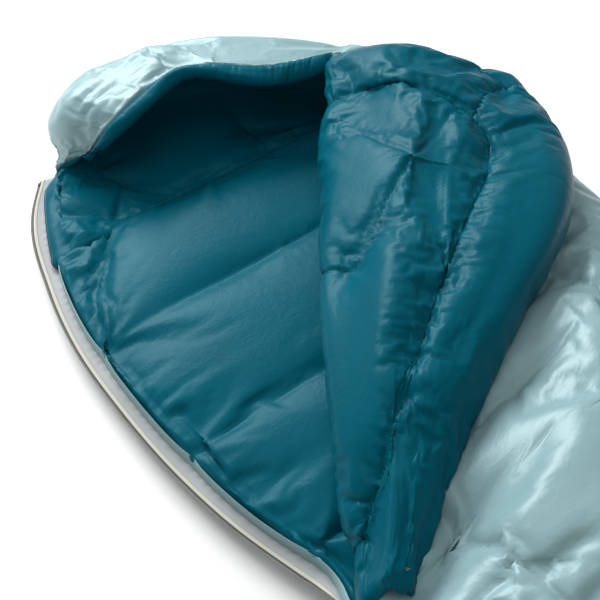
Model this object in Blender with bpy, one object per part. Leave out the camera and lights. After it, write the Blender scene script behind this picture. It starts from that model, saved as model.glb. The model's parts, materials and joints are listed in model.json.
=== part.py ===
# Hooded mummy sleeping bag, unzipped at the left, the top quilt folded back over a diagonal fold line.
# Metres, +Z up. +Y runs to the hood, -X is the zip side. Every quilted panel is three layers that share
# one shape function: shell sheet outside, fill chambers between the seams, lining sheet inside.
import math
import bpy
import bmesh
import numpy as np
from mathutils import Matrix, Vector

# ---- driving dimensions ----
EDGE = [(-1.05, .217), (-.85, .238), (-.62, .2634), (-.40, .2864), (-.20, .3073), (-.03, .3250),
        (.027, .3310), (.087, .3470), (.184, .3700), (.287, .3830), (.447, .3860), (.569, .3780),
        (.703, .3500), (.88, .2810), (.95, .2270)]          # (y, half width at the zip coil)
CREST = [(-1.05, .165), (-.60, .168), (-.10, .185), (.35, .190), (.80, .190)]   # (y, height of the top)
Y_FOOT, Y_NECK = -.955, .740          # ends of the long panels; the foot cap and the hood follow them
QUILT = .045                          # thickness of a lofted panel
SEAT_Z = .048                         # height of the side seams, where the top panel stands on the bottom
ARCH_POWER = .62                      # squareness of the top panel's arch
SHEET = .0013                         # shell and lining cloth with its stitching allowance
CLEAR = .0026                         # between cloth and fill
CHAMBER_GAP = .003                    # half the seam width between two fill chambers
BOTTOM_SEAMS = [Y_FOOT, -.75, -.54, -.33, -.12, .09, .30, .53, Y_NECK]
TOP_SEAMS = [Y_FOOT, -.83, -.65, -.47, -.29, -.11, .07, .25, .50, Y_NECK]
FLAT_SHARE = .8                       # share of the bottom's width that lies flat on the ground
FOLD_A = Vector((.250, .738, .180))   # neck end of the fold line
FOLD_B = Vector((-.319, -.030, .085)) # slider end of the fold line
FOLD_RADIUS = [(0, .022), (.10, .030), (.20, .038), (.35, .044), (.55, .045), (.80, .036), (.96, .016)]
# flap sections across the fold: (distance along the fold, reach, edge height, crest height, thickness)
FLAP = [(0, .275, .112, .222, .034), (.1, .298, .125, .243, .040), (.2, .318, .150, .250, .045),
        (.3, .318, .175, .249, .045), (.4, .303, .182, .246, .045), (.5, .262, .178, .238, .044),
        (.6, .203, .168, .224, .042), (.7, .147, .154, .205, .038), (.8, .098, .137, .180, .033),
        (.9, .057, .116, .148, .026), (.96, .038, .098, .124, .019)]
DENT = .11                            # how far the fold pulls the top panel down beside it
DENT_RUN = .20                        # and how far past the slider
FOLD_CLEAR = .012                     # the flap's cloth starts this share of its width past the fold
FLAP_START, FLAP_SKEW, FLAP_END = .030, .060, .935   # neck edge along the fold, its slant, slider end
COLLAR = .065                         # draft collar along the neck edge
TUBE = .135                           # draft tube along the zip edge
BAND = .0275                          # width of a zip tape
BAND_THICK = .0016
BAND_TURN_Y = .10                     # above this the open tape lies flat, below it stands upright
COIL_WIDE, COIL_THICK = .0030, .0024
COIL_CLEAR = .0018                    # between tape and coil
COIL_Z = .0560                        # centre line of the closed zip
COIL_GAP = .0008                      # half the gap between the closed coils
ZIP_PLANE = .0066                     # the closed zip stands this far outside the side of the quilt
Y_ZIP_TOP, Y_ZIP_END = .940, -.600
Y_SLIDER = -.062                      # centre of the slider at rest
HOOD_THICK = .028
HOOD_CURL = .0085                     # fill keeps this far from the lining where the hood curls into the zip
HOOD_COLUMNS = (0, .13, .43, .74, 1)  # where the hood's columns stand across it
ZIP_FAN = .14                         # share of the hood's width that fans in to the top of the zip
HOOD = [  # columns from the zip side to the right side, rows from the neck seam over the crown to the rim
    [(-.301, .742, .026), (-.269, .82, .028), (-.228, .90, .034), (-.205, .928, .048), (-.190, .912, .070),
     (-.172, .880, .095)],
    [(-.170, .742, .024), (-.182, .83, .025), (-.180, .905, .040), (-.176, .955, .092), (-.168, .925, .142),
     (-.144, .842, .152)],
    [(0, .742, .024), (0, .85, .025), (0, .945, .055), (0, .978, .120), (0, .935, .178), (0, .853, .192)],
    [(.170, .742, .024), (.190, .81, .025), (.205, .875, .065), (.205, .885, .125), (.170, .835, .172),
     (.128, .775, .186)],
    [(.318, .742, .024), (.325, .765, .035), (.333, .785, .075), (.318, .785, .122), (.290, .768, .152),
     (.240, .745, .180)]]
COLOURS = {
    "shell_nylon": (.46, .64, .66), "lining_nylon": (.01, .13, .18), "down_fill": (.85, .85, .82),
    "grosgrain": (.55, .57, .58), "coil_nylon": (.66, .64, .55), "zip_metal": (.30, .31, .32)}

for old in list(bpy.data.objects):
    bpy.data.objects.remove(old, do_unlink=True)
scene_root = bpy.context.scene.collection
bag = bpy.data.collections.new("mummy_sleeping_bag")
scene_root.children.link(bag)
materials = {}


def material_of(name, slot):
    """One Principled material per piece, coloured by what the piece is made of."""
    mat = bpy.data.materials.new(name)
    mat.use_nodes = True
    bsdf = mat.node_tree.nodes["Principled BSDF"]
    bsdf.inputs["Base Color"].default_value = (*COLOURS[slot], 1)
    bsdf.inputs["Roughness"].default_value = .35 if slot == "zip_metal" else .6
    bsdf.inputs["Metallic"].default_value = 1 if slot == "zip_metal" else 0
    mat.diffuse_color = (*COLOURS[slot], 1)
    return mat


def spline(points, at):
    """Smooth curve through (t, values...) rows, read at t."""
    table = np.array(points, float)
    knots, values = table[:, 0], table[:, 1:]
    t = min(max(at, knots[0]), knots[-1])
    i = int(np.clip(np.searchsorted(knots, t) - 1, 0, len(knots) - 2))
    slope = np.gradient(values, knots, axis=0)
    h = knots[i + 1] - knots[i]
    s = (t - knots[i]) / h
    return ((2 * s**3 - 3 * s**2 + 1) * values[i] + (s**3 - 2 * s**2 + s) * h * slope[i]
            + (3 * s**2 - 2 * s**3) * values[i + 1] + (s**3 - s**2) * h * slope[i + 1])


def smooth(t):
    t = min(max(t, 0.0), 1.0)
    return t * t * (3 - 2 * t)


def half_width(y):
    return float(spline(EDGE, y)[0])


ALONG = Vector(((FOLD_B - FOLD_A).x, (FOLD_B - FOLD_A).y, 0))
FOLD_LENGTH = ALONG.length
ALONG.normalize()
ACROSS = Vector((-ALONG.y, ALONG.x, 0))


def fold_height(s):
    return FOLD_A.z + (FOLD_B.z - FOLD_A.z) * s / FOLD_LENGTH


def fold_radius(s):
    return float(spline(FOLD_RADIUS, s)[0])


def from_fold(s, p, z):
    """Point at distance s along the fold line and p across it, at height z."""
    return Vector((FOLD_A.x, FOLD_A.y, 0)) + ALONG * s + ACROSS * p + Vector((0, 0, z))


def flap_curve(s, t, lower):
    """(across, height) of the flap's upper or lower face; t runs from the fold to the zip edge."""
    reach, edge_z, crest_z, thick = spline(FLAP, s)
    drop, axis_z = crest_z - edge_z, fold_height(s)
    if lower:
        rows = [(0, 0, axis_z + .0008), (.15, .17 * reach, crest_z - .008 - thick),
                (.4, .42 * reach, crest_z - thick), (.7, .72 * reach, crest_z - .27 * drop - .004 - thick),
                (.9, .90 * reach, edge_z + .45 * drop - .85 * thick), (1, .955 * reach, edge_z - .4 * thick)]
    else:
        rows = [(0, 0, axis_z + fold_radius(s)), (.15, .17 * reach, crest_z - .008),
                (.4, .42 * reach, crest_z), (.7, .76 * reach, crest_z - .25 * drop - .004),
                (.9, .965 * reach, edge_z + .45 * drop), (1, reach, edge_z)]
    return spline(rows, t)


def flap_point(t, v, depth):
    """Flap panel: t fold to zip edge, v neck to slider end, depth 0 shell (below) to 1 lining (above)."""
    start = FLAP_START + FLAP_SKEW * t
    s = start + (FLAP_END - start) * v
    low, high = flap_curve(s, t, True), flap_curve(s, t, False)
    return from_fold(s, *(low + (high - low) * depth))


def tube_seam(v):
    """Where the draft tube's seam crosses the flap, as t."""
    s = FLAP_START + .5 * FLAP_SKEW + (FLAP_END - FLAP_START) * v
    reach = float(spline(FLAP, s)[0])
    return min(.85, max(.25, .95 - TUBE / reach * .95))


def flap_panel(k, v, depth):
    """Flap with k 0 to 1 from the fold to the tube's seam and 1 to 2 from there to the zip edge."""
    seam = tube_seam(v)
    t = FOLD_CLEAR + (seam - FOLD_CLEAR) * k if k <= 1 else seam + (1 - seam) * (k - 1)
    return flap_point(t, v, depth)


LOWER_FACE = {}


def under_flap(s, p):
    """Height of the flap's lower face over the point (s, p); past its edge the limit climbs away."""
    key = round(s, 3)
    if key not in LOWER_FACE:
        LOWER_FACE[key] = np.array([flap_curve(key, t, True) for t in np.linspace(0, 1, 40)])
    rows = LOWER_FACE[key]
    return float(np.interp(p, rows[:, 0], rows[:, 1])) + max(0, p - rows[-1, 0] - .02) * .6


def top_point(u, y, depth):
    """Top panel left in place: u 0 right side seam to 1 fold line or zip edge, depth 0 shell to 1 lining."""
    wide = half_width(y)
    x_fold = FOLD_A.x + ALONG.x * (y - FOLD_A.y) / ALONG.y
    opened = smooth((y - FOLD_B.y + .035) / .035)
    q_end = 1 - opened * (1 - math.acos(min(max(x_fold / wide, -1), 1)) / math.pi)
    q = u * q_end
    high = float(spline(CREST, y)[0])
    rise = math.sin(math.pi * q) ** ARCH_POWER if 0 < q < 1 else 0.0
    outer_z = SEAT_Z + (high - SEAT_Z) * rise
    x = wide * math.cos(math.pi * q)
    rel = Vector((x - FOLD_A.x, y - FOLD_A.y, 0))
    s, p = rel.dot(ALONG), rel.dot(ACROSS)
    eased = smooth((y - FOLD_B.y + DENT_RUN) / DENT_RUN)
    limit_s = min(max(s, .001), FLAP_END + .02)
    beside = math.hypot(p, max(0, s - FOLD_LENGTH))
    if eased > 0:
        limit = under_flap(limit_s, p) - .003 - .017 * smooth(p / .05) + max(0, s - limit_s) * .6
        outer_z = min(outer_z, max(limit, fold_height(limit_s)) + (1 - eased) * .2)
    s = min(max(s, 0), FOLD_LENGTH)
    target = fold_height(s) - .001
    pull = eased * math.exp(-(beside / DENT) ** 2) if outer_z > target else opened * math.exp(-(p / .07) ** 2)
    outer_z += (target - outer_z) * pull
    inner_z = SEAT_Z + (outer_z - SEAT_Z) * (high - QUILT - SEAT_Z) / (high - SEAT_Z)
    near = opened * math.exp(-(p / .07) ** 2)
    inner_z += (fold_height(s) - fold_radius(s) - inner_z) * near
    outer_z = max(outer_z, SEAT_Z + .020 * opened)
    inner_z = max(SEAT_Z, min(inner_z, outer_z - max(.35 * QUILT * rise, .018 * opened)))
    inward = QUILT * math.cos(math.pi * q) * (1 - opened * smooth(u))
    return Vector((x - inward * depth, y, outer_z + (inner_z - outer_z) * depth))


def quilt_left(y):
    """Left edge of the bottom quilt: in the open stretch the flat tape lies outside it."""
    return -half_width(y) + (BAND + .0045) * smooth((y - FOLD_B.y) / BAND_TURN_Y)


def bottom_point(u, y, depth):
    """Bottom panel: u 0 zip side to 1 right side, depth 0 shell on the floor to 1 lining."""
    left, right = quilt_left(y), half_width(y)
    side = abs(2 * u - 1)
    x = left + (right - left) * u
    low = .016 * max(0, (side - FLAT_SHARE) / (1 - FLAT_SHARE)) ** 2
    high = SEAT_Z - .0006 - .004 * side ** 6
    return Vector((x, y, low + (high - low) * depth))


def hood_surface(u, v):
    columns = [spline([(i / 5, *row) for i, row in enumerate(column)], v) for column in HOOD]
    return Vector(spline([(at, *point) for at, point in zip(HOOD_COLUMNS, columns)], u))


def hood_point(u, v, depth):
    """Hood: u zip side to right side, v neck seam to rim, depth 0 shell to 1 lining."""
    e = 1e-3
    u0, v0 = min(max(u, ZIP_FAN), 1 - e), min(max(v, e), 1 - e)
    du = hood_surface(u0 + e, v0) - hood_surface(u0 - e, v0)
    dv = hood_surface(u0, v0 + e) - hood_surface(u0, v0 - e)
    normal = du.cross(dv).normalized()      # points to the inside of the hood
    beside_zip = Vector((0, 0, 1)).lerp(Vector((.93, .25, 0)), smooth((v - .3) / .3))
    normal = normal.lerp(beside_zip, smooth((ZIP_FAN - u) / ZIP_FAN)).normalized()
    normal = normal.lerp(Vector((0, 0, 1)), smooth((.16 - v) / .16)).normalized()
    thick = HOOD_THICK * (1 - .55 * smooth((v - .80) / .2))
    thick *= 1 - smooth((ZIP_FAN - u) / ZIP_FAN) * (.35 + .30 * smooth((v - .3) / .3))
    thick += (.040 - thick) * smooth((.15 - v) / .15) * smooth(u / .05)
    thick = max(thick, .0150)
    point = hood_surface(u, v) + normal * thick * (depth - .5 * smooth(u / ZIP_FAN))
    point.z = max(point.z, 0)
    return point


def foot_point(u, v, depth):
    """Foot cap closing the bag: u left to right, v floor to crest, depth 0 inside to 1 outside."""
    wide, high = half_width(Y_FOOT) - .002, float(spline(CREST, Y_FOOT)[0])
    q = u * .94 + .03
    x = -wide * math.cos(math.pi * q)
    low = .016 * abs(math.cos(math.pi * q)) ** 8
    top = SEAT_Z + (high - SEAT_Z) * math.sin(math.pi * q) ** ARCH_POWER
    dome = math.sin(math.pi * u) * math.sin(math.pi * (.08 + .84 * v))
    y = Y_FOOT - .0006 - .012 * dome - (.022 + .020 * dome) * depth
    return Vector((x, y, low + (top - low) * v))


def place(mesh, name, slot, origin=None):
    """Object in the bag's collection; a moving piece gets its origin on the joint axis."""
    if origin is not None:
        mesh.transform(Matrix.Translation(-origin))
    obj = bpy.data.objects.new(name, mesh)
    if origin is not None:
        obj.location = origin
    mesh.materials.append(material_of(name + "_" + slot, slot))
    bag.objects.link(obj)
    return obj


def on_grid(shape, us, vs):
    """The panel as the flat facets of its grid, read at any (u, v). The depth is (side, metres): so far in from
    the shell, side 0, or from the lining, side 1. Pieces read from one grid stay clear of each other."""
    corner = {(i, j, d): shape(u, v, d) for i, u in enumerate(us) for j, v in enumerate(vs) for d in (0, 1)}

    def cell(knots, at):
        i = min(max(int(np.searchsorted(knots, at, side="right")) - 1, 0), len(knots) - 2)
        return i, (at - knots[i]) / (knots[i + 1] - knots[i])

    def point(u, v, deep):
        (i, a), (j, b) = cell(us, u), cell(vs, v)
        shell, lining = (corner[i, j, d].lerp(corner[i + 1, j, d], a).lerp(
            corner[i, j + 1, d].lerp(corner[i + 1, j + 1, d], a), b) for d in (0, 1))
        side, metres = deep
        step = (lining - shell).normalized() * metres
        return lining - step if side else shell + step
    return point


def grid_mesh(name, shape, us, vs, deep):
    """Closed block: a grid laid on shape(u, v, depth) at the given lines and extruded between two depths."""
    bm = bmesh.new()
    bmesh.ops.create_grid(bm, x_segments=len(us) - 1, y_segments=len(vs) - 1, size=.5)
    made = bmesh.ops.extrude_face_region(bm, geom=list(bm.faces), use_keep_orig=True)
    for vert in (g for g in made["geom"] if isinstance(g, bmesh.types.BMVert)):
        vert.co.z = 1
    for vert in bm.verts:
        u = us[round((vert.co.x + .5) * (len(us) - 1))]
        v = vs[round((vert.co.y + .5) * (len(vs) - 1))]
        vert.co = shape(u, v, deep[round(vert.co.z)])
    bmesh.ops.recalc_face_normals(bm, faces=list(bm.faces))
    if bm.calc_volume(signed=True) < 0:
        bmesh.ops.reverse_faces(bm, faces=list(bm.faces))
    mesh = bpy.data.meshes.new(name)
    bm.to_mesh(mesh)
    bm.free()
    return mesh


SHELL_DEEP, LINING_DEEP = ((0, 0), (0, SHEET)), ((1, SHEET), (1, 0))
FILL_DEEP = ((0, SHEET + CLEAR), (1, SHEET + CLEAR))


def piece(name, panel, us, vs, slot, deep, origin=None):
    return place(grid_mesh(name, panel, us, vs, deep), name, slot, origin)


def trimmed(knots, first, last):
    """Grid lines with the two outer ones moved in, for a fill that stops short of its seams."""
    return [knots[0] + first] + list(knots[1:-1]) + [knots[-1] - last]


def lines(a, b, n):
    return [a + (b - a) * i / n for i in range(n + 1)]


def long_panel(prefix, shape, us, seams, bends=()):
    """Shell, lining and one fill chamber between each pair of seams; bends are extra grid lines."""
    ys = sorted(seams + [(a + b) / 2 for a, b in zip(seams, seams[1:])] + list(bends))
    panel = on_grid(shape, us, ys)
    piece(prefix + "_shell", panel, us, ys, "shell_nylon", SHELL_DEEP)
    piece(prefix + "_lining", panel, us, ys, "lining_nylon", LINING_DEEP)
    for i, (a, b) in enumerate(zip(seams, seams[1:])):
        rows = trimmed([y for y in ys if a <= y <= b], CHAMBER_GAP, CHAMBER_GAP)
        piece(f"{prefix}_fill_{i + 1}", panel, trimmed(us, .006, .022), rows, "down_fill", FILL_DEEP)
    return ys


# ---- the two long quilts ----
BOTTOM_LINES = long_panel("bottom", bottom_point, [0, .03, .10, .3, .5, .7, .90, .97, 1], BOTTOM_SEAMS)
long_panel("top", top_point, [.001, .03, .08, .17, .32, .5, .68, .84, .93, .97, .998], TOP_SEAMS,
           (FOLD_B.y - .055, FOLD_B.y - .035, FOLD_B.y - .015, FOLD_B.y, .02))

# ---- hood ----
HOOD_U = [0, .03, .07, .12, .19, .28, .38, .49, .60, .70, .79, .87, .94, 1]
HOOD_V = [.004, .12, .24, .36, .45, .54, .62, .70, .79, .89, 1]
hood = on_grid(hood_point, HOOD_U, HOOD_V)
piece("hood_shell", hood, HOOD_U, HOOD_V, "shell_nylon", SHELL_DEEP)
piece("hood_lining", hood, HOOD_U, HOOD_V, "lining_nylon", LINING_DEEP)
for part, a, b in (("left", 3, 5), ("crown", 5, 9), ("right", 9, 13)):
    deep = (FILL_DEEP[0], (1, HOOD_CURL)) if part == "left" else FILL_DEEP
    piece("hood_fill_" + part, hood, trimmed(HOOD_U[a:b + 1], .006, .006), trimmed(HOOD_V, .010, .015),
          "down_fill", deep)

# ---- foot cap ----
FOOT_U, FOOT_V = lines(0, 1, 10), lines(0, 1, 5)
foot = on_grid(foot_point, FOOT_U, FOOT_V)
piece("foot_lining", foot, FOOT_U, FOOT_V, "lining_nylon", SHELL_DEEP)
piece("foot_shell", foot, FOOT_U, FOOT_V, "shell_nylon", LINING_DEEP)
piece("foot_fill", foot, trimmed(FOOT_U, .02, .02), trimmed(FOOT_V, .02, .02), "down_fill", FILL_DEEP)

# ---- folded-back flap and the roll of the fold ----
hinge = (FOLD_A + FOLD_B) / 2
COLLAR_V = COLLAR / (FLAP_END - FLAP_START)
FLAP_K = [0, .2, .45, .72, 1, 1.2, 1.4, 1.6, 1.8, 1.93, 2]
FLAP_V = [0, COLLAR_V] + lines(.16, 1, 8)
flap = on_grid(flap_panel, FLAP_K, FLAP_V)
FIELD_K, TUBE_K = FLAP_K[:5], FLAP_K[4:]
PAST_COLLAR = trimmed(FLAP_V[1:], .003, 0)
piece("flap_shell", flap, FLAP_K, FLAP_V, "shell_nylon", SHELL_DEEP, hinge)
piece("flap_lining", flap, trimmed(FIELD_K, 0, .02), PAST_COLLAR, "lining_nylon", LINING_DEEP, hinge)
for i, (a, b) in enumerate(((1, 3), (3, 5), (5, 7), (7, 9))):
    piece(f"flap_fill_{i + 1}", flap, trimmed(FIELD_K, .01, .03), trimmed(FLAP_V[a:b + 1], .006, .004),
          "down_fill", FILL_DEEP, hinge)
piece("draft_tube_cover", flap, trimmed(TUBE_K, .01, 0), PAST_COLLAR, "lining_nylon", LINING_DEEP, hinge)
piece("draft_tube_fill", flap, trimmed(TUBE_K, .02, .03), trimmed(FLAP_V[1:], .006, .006), "down_fill",
      FILL_DEEP, hinge)
piece("draft_collar_cover", flap, FLAP_K, trimmed(FLAP_V[:2], 0, .003), "lining_nylon", LINING_DEEP, hinge)
piece("draft_collar_fill", flap, trimmed(FLAP_K, .01, .03), trimmed(FLAP_V[:2], .006, .006), "down_fill",
      FILL_DEEP, hinge)


def roll_point(turn, s, depth):
    """Roll of the fold: turn 0 under the axis to 1 over it, depth 0 axis to 1 lining."""
    radius = .0012 + (fold_radius(s) - .0012) * depth
    angle = math.pi * (.5 + turn)
    return from_fold(s, radius * math.cos(angle) - .0005, fold_height(s) - radius * math.sin(angle))


ROLL_T, ROLL_S = lines(.004, .996, 8), lines(.012, FLAP_END, 9)
roll = on_grid(roll_point, ROLL_T, ROLL_S)
piece("fold_lining", roll, ROLL_T, ROLL_S, "lining_nylon", LINING_DEEP, hinge)
piece("fold_fill", roll, ROLL_T, trimmed(ROLL_S, .004, .004), "down_fill", ((0, 0), (1, SHEET + CLEAR)), hinge)


# ---- zip: tapes, coils, stops ----
def band_point(y, t, lift):
    """Bottom tape: t metres out from the quilt edge, lift metres off its lower or outer face."""
    upright = 1 - smooth((y - FOLD_B.y) / BAND_TURN_Y)
    angle = math.radians(8 + 82 * upright)
    side = .0008 + upright * (ZIP_PLANE - .0008) * smooth(t / .010) + (1 - upright) * .0004
    root_z = COIL_Z - COIL_GAP - COIL_WIDE - COIL_CLEAR - BAND
    out = Vector((-math.cos(angle), 0, math.sin(angle)))
    lifted = Vector((math.sin(angle), 0, math.cos(angle)))
    slim = upright * (side + BAND_THICK) + (1 - upright) * .0012
    return Vector((quilt_left(y) - slim, y, root_z)) + out * t + lifted * lift


def top_band_point(y, t, lift):
    """Top tape in the closed stretch, the bottom one mirrored about the zip's centre line."""
    point = band_point(y, t, lift)
    return Vector((point.x, point.y, 2 * COIL_Z - point.z))


def tape(name, stations, shape, ends, origin=None):
    """Tape, coil and stop cut from one strip: across in metres from the quilt, depth in metres of lift."""
    across = [0, BAND, COIL_ACROSS[0], COIL_ACROSS[1]]
    facets = {(i, j): (shape(y, t, 0), shape(y, t, 1)) for i, y in enumerate(stations)
              for j, t in enumerate(across)}

    def point(y, t, lift):
        i = min(max(int(np.searchsorted(stations, y, side="right")) - 1, 0), len(stations) - 2)
        share = (y - stations[i]) / (stations[i + 1] - stations[i])
        j = across.index(t)
        base, up = (facets[i, j][d].lerp(facets[i + 1, j][d], share) for d in (0, 1))
        return base + (up - base) * lift

    def cut(start, end, t_range, lift_range, part, slot):
        rows = [start] + [y for y in stations if start + .004 < y < end - .004] + [end]
        place(grid_mesh(part, point, rows, t_range, lift_range), part, slot, origin)

    cut(stations[0], stations[-1], across[:2], (0, BAND_THICK), name.replace("*", "tape"), "grosgrain")
    cut(stations[0] + ends[0], stations[-1] - ends[1], across[2:], COIL_LIFT, name.replace("*", "coil"),
        "coil_nylon")
    return cut


COIL_ACROSS = (BAND + COIL_CLEAR, BAND + COIL_CLEAR + COIL_WIDE)
COIL_LIFT = (-.0004, COIL_THICK - .0004)
STOP_LIFT = (-.0010, COIL_THICK + .0004)
Y_CLOSED = FOLD_B.y - .006
EDGE_Y = [Y_ZIP_END] + [y for y in BOTTOM_LINES if y > Y_ZIP_END] + [.79, .84, .88, .915, Y_ZIP_TOP]
bottom_cut = tape("zip_*_bottom", EDGE_Y, band_point, (.010, .010))
CLOSED_Y = [y for y in EDGE_Y if y < Y_CLOSED - .01] + [Y_CLOSED]
tape("zip_*_top", CLOSED_Y, top_band_point, (.010, 0))
bottom_cut(Y_ZIP_TOP - .0092, Y_ZIP_TOP - .0042, COIL_ACROSS, STOP_LIFT, "zip_stop_top", "zip_metal")


def flap_band_point(v, t, lift):
    """Tape of the flap: from the zip edge back under the draft tube, t metres in, lift metres down."""
    s = FLAP_START + FLAP_SKEW + (FLAP_END - FLAP_START - FLAP_SKEW) * v
    reach = float(spline(FLAP, s)[0])
    edge = .955 - .004 / reach
    slope_at = edge - (BAND + COIL_WIDE) / reach
    p1, z1 = flap_curve(s, min(edge, 1), True)
    p0, z0 = flap_curve(s, max(slope_at, .1), True)
    run = Vector((p0 - p1, z0 - z1)).normalized()
    across, height = Vector((p1, z1)) + run * t
    return from_fold(s, across, height - .0055 - lift)


flap_cut = tape("flap_zip_*", lines(.012, .86, 12), flap_band_point, (.010, 0), hinge)
flap_cut(.0130, .0190, COIL_ACROSS, STOP_LIFT, "flap_zip_stop", "zip_metal")


def box_at(bm, size, centre):
    made = bmesh.ops.create_cube(bm, size=1)["verts"]
    bmesh.ops.scale(bm, vec=size, verts=made)
    bmesh.ops.translate(bm, vec=centre, verts=made)


def solid_box(name, size, centre, slot, frame=None, origin=None):
    """Box with its centre given in a frame, or in the bag's own axes."""
    bm = bmesh.new()
    box_at(bm, size, centre)
    mesh = bpy.data.meshes.new(name)
    bm.to_mesh(mesh)
    bm.free()
    if frame is not None:
        mesh.transform(frame)
        if frame.determinant() < 0:
            mesh.flip_normals()
    return place(mesh, name, slot, origin)


# frame of the closed stretch: local y along the zip to the hood, local x out of the bag, z up
toward_hood = Vector((-(half_width(-.03) - half_width(-.55)), .52, 0)).normalized()
outward = Vector((-toward_hood.y, toward_hood.x, 0))


def zip_frame(y, out):
    """Frame on the closed zip's centre line at y, out metres outside the quilt's side."""
    base = Vector((-half_width(y), y, COIL_Z)) + Vector((-out, 0, 0))
    columns = Matrix((outward, toward_hood, Vector((0, 0, 1)))).transposed().to_4x4()
    return Matrix.Translation(base) @ columns


solid_box("zip_stop_bottom", (.0042, .0040, .0066), (0, 0, 0), "coil_nylon",
          zip_frame(Y_ZIP_END + .0070, ZIP_PLANE + .0008))

# ---- slider and its pull ----
COIL_MID = ZIP_PLANE + COIL_THICK / 2 - .0004   # middle of the closed coils, outside the quilt's side
PLATE = .0012
PLATE_GAP = COIL_THICK / 2 + .0005              # from the coil's middle to either plate
SLIDER_LONG, SLIDER_TALL, POST = .0150, .0100, .0009
at_slider = zip_frame(Y_SLIDER, COIL_MID)
slider_origin = at_slider.translation.copy()


def union(name, boxes, slot, frame, origin, cut=None):
    """Boxes joined into one body, with an optional box cut out of it."""
    main = solid_box(name, *boxes[0], slot, frame, origin)
    for i, (size, centre) in enumerate(boxes[1:] + ([cut] if cut else [])):
        tool = solid_box(f"{name}_tool_{i}", size, centre, slot, frame, origin)
        bag.objects.unlink(tool)
        cutters.objects.link(tool)
        tool.hide_render = True
        tool.display_type = "WIRE"
        mod = main.modifiers.new(f"join_{i}", "BOOLEAN")
        mod.operation = "DIFFERENCE" if cut and i == len(boxes) - 1 else "UNION"
        mod.solver = "EXACT"
        mod.object = tool
    return main


cutters = bpy.data.collections.new("cutters")
scene_root.children.link(cutters)
plate_x = PLATE_GAP + PLATE / 2
lug_x = PLATE_GAP + PLATE + .0021
pin_x = PLATE_GAP + PLATE + .0030
LUG_Z = .0031
union("slider_body", [
    ((PLATE, SLIDER_LONG, SLIDER_TALL), (plate_x, 0, 0)),
    ((PLATE, SLIDER_LONG, SLIDER_TALL), (-plate_x, 0, 0)),
    ((2 * PLATE_GAP + PLATE, .0050, POST), (0, .0045, 0)),
    ((.0046, .0040, .0012), (lug_x, -.0010, LUG_Z)),
    ((.0046, .0040, .0012), (lug_x, -.0010, -LUG_Z)),
    ((.0011, .0011, 2 * LUG_Z + .0004), (pin_x, -.0010, 0))], "zip_metal", at_slider, slider_origin)
pull_origin = at_slider @ Vector((pin_x, -.0010, 0))
union("slider_pull", [
    ((.0034, .0036, .0044), (pin_x, -.0010, 0)),
    ((.0014, .0270, .0044), (pin_x, -.0152, 0)),
    ((.0016, .0130, .0080), (pin_x, -.0230, 0))], "zip_metal", at_slider, pull_origin,
    ((.0018, .0018, .0300), (pin_x, -.0010, 0)))

# ---- the origin goes under the middle of the bag, on the floor ----
corners = np.array([obj.location + Vector(c) for obj in bag.objects for c in obj.bound_box])
centre = Vector((*(corners.min(axis=0) + corners.max(axis=0))[:2] / 2, corners[:, 2].min()))
for obj in list(bag.objects) + list(cutters.objects):
    if obj.location.length > 0:
        obj.location -= centre
    else:
        obj.data.transform(Matrix.Translation(-centre))
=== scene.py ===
# %% [markdown]
# # A hooded mummy sleeping bag, zip open, its top quilt folded back
# The bag is made of quilted panels: a satin nylon shell outside, a satin nylon lining inside and loose down
# between them, held in chambers by sewn seams. The frame already holds every panel as a plain solid, in its
# place and on its body. Here each panel gets its cloth: a fine sheet laid on the panel's shape, held at its
# seams and blown up by a cloth simulation, so that it puffs between the seams and gathers along them.

# %% Load the frame
import json
import math
import bpy
import bmesh
import numpy as np
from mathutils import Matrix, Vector
from mathutils.bvhtree import BVHTree


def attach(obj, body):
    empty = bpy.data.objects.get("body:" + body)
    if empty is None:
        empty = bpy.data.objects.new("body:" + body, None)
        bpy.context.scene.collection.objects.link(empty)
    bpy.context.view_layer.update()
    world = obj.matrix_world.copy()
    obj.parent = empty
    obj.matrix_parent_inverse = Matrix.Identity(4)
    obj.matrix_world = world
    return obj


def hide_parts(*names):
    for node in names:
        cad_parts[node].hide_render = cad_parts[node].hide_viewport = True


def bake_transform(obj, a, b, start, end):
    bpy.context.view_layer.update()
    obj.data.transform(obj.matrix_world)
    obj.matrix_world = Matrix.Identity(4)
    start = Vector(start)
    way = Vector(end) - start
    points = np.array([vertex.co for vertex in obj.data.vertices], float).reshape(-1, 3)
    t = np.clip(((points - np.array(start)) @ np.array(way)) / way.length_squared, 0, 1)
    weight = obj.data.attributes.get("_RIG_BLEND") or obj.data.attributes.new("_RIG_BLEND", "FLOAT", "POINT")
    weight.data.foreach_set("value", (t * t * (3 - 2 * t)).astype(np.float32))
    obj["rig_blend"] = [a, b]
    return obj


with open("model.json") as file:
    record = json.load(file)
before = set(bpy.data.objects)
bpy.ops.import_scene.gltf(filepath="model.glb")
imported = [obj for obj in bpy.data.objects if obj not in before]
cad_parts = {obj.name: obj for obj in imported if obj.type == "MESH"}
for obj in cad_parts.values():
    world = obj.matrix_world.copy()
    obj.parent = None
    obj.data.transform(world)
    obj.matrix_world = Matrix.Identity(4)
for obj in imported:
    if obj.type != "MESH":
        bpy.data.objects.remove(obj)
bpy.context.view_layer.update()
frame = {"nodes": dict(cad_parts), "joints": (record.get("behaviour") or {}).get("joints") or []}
joints = {joint["name"]: joint for joint in frame["joints"]}

# %% [markdown]
# ## The shape of the panels
# Each panel is a function of two numbers, u across and v along, and of a depth that goes from the shell to the
# lining. The same few curves drive all of them: the outline of the bag, its height, and the fold line that
# runs from the neck at the right down to the slider at the left. They are written in the maker's own axes,
# and the hinge of the frame says how far those are from the frame's origin.

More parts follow.
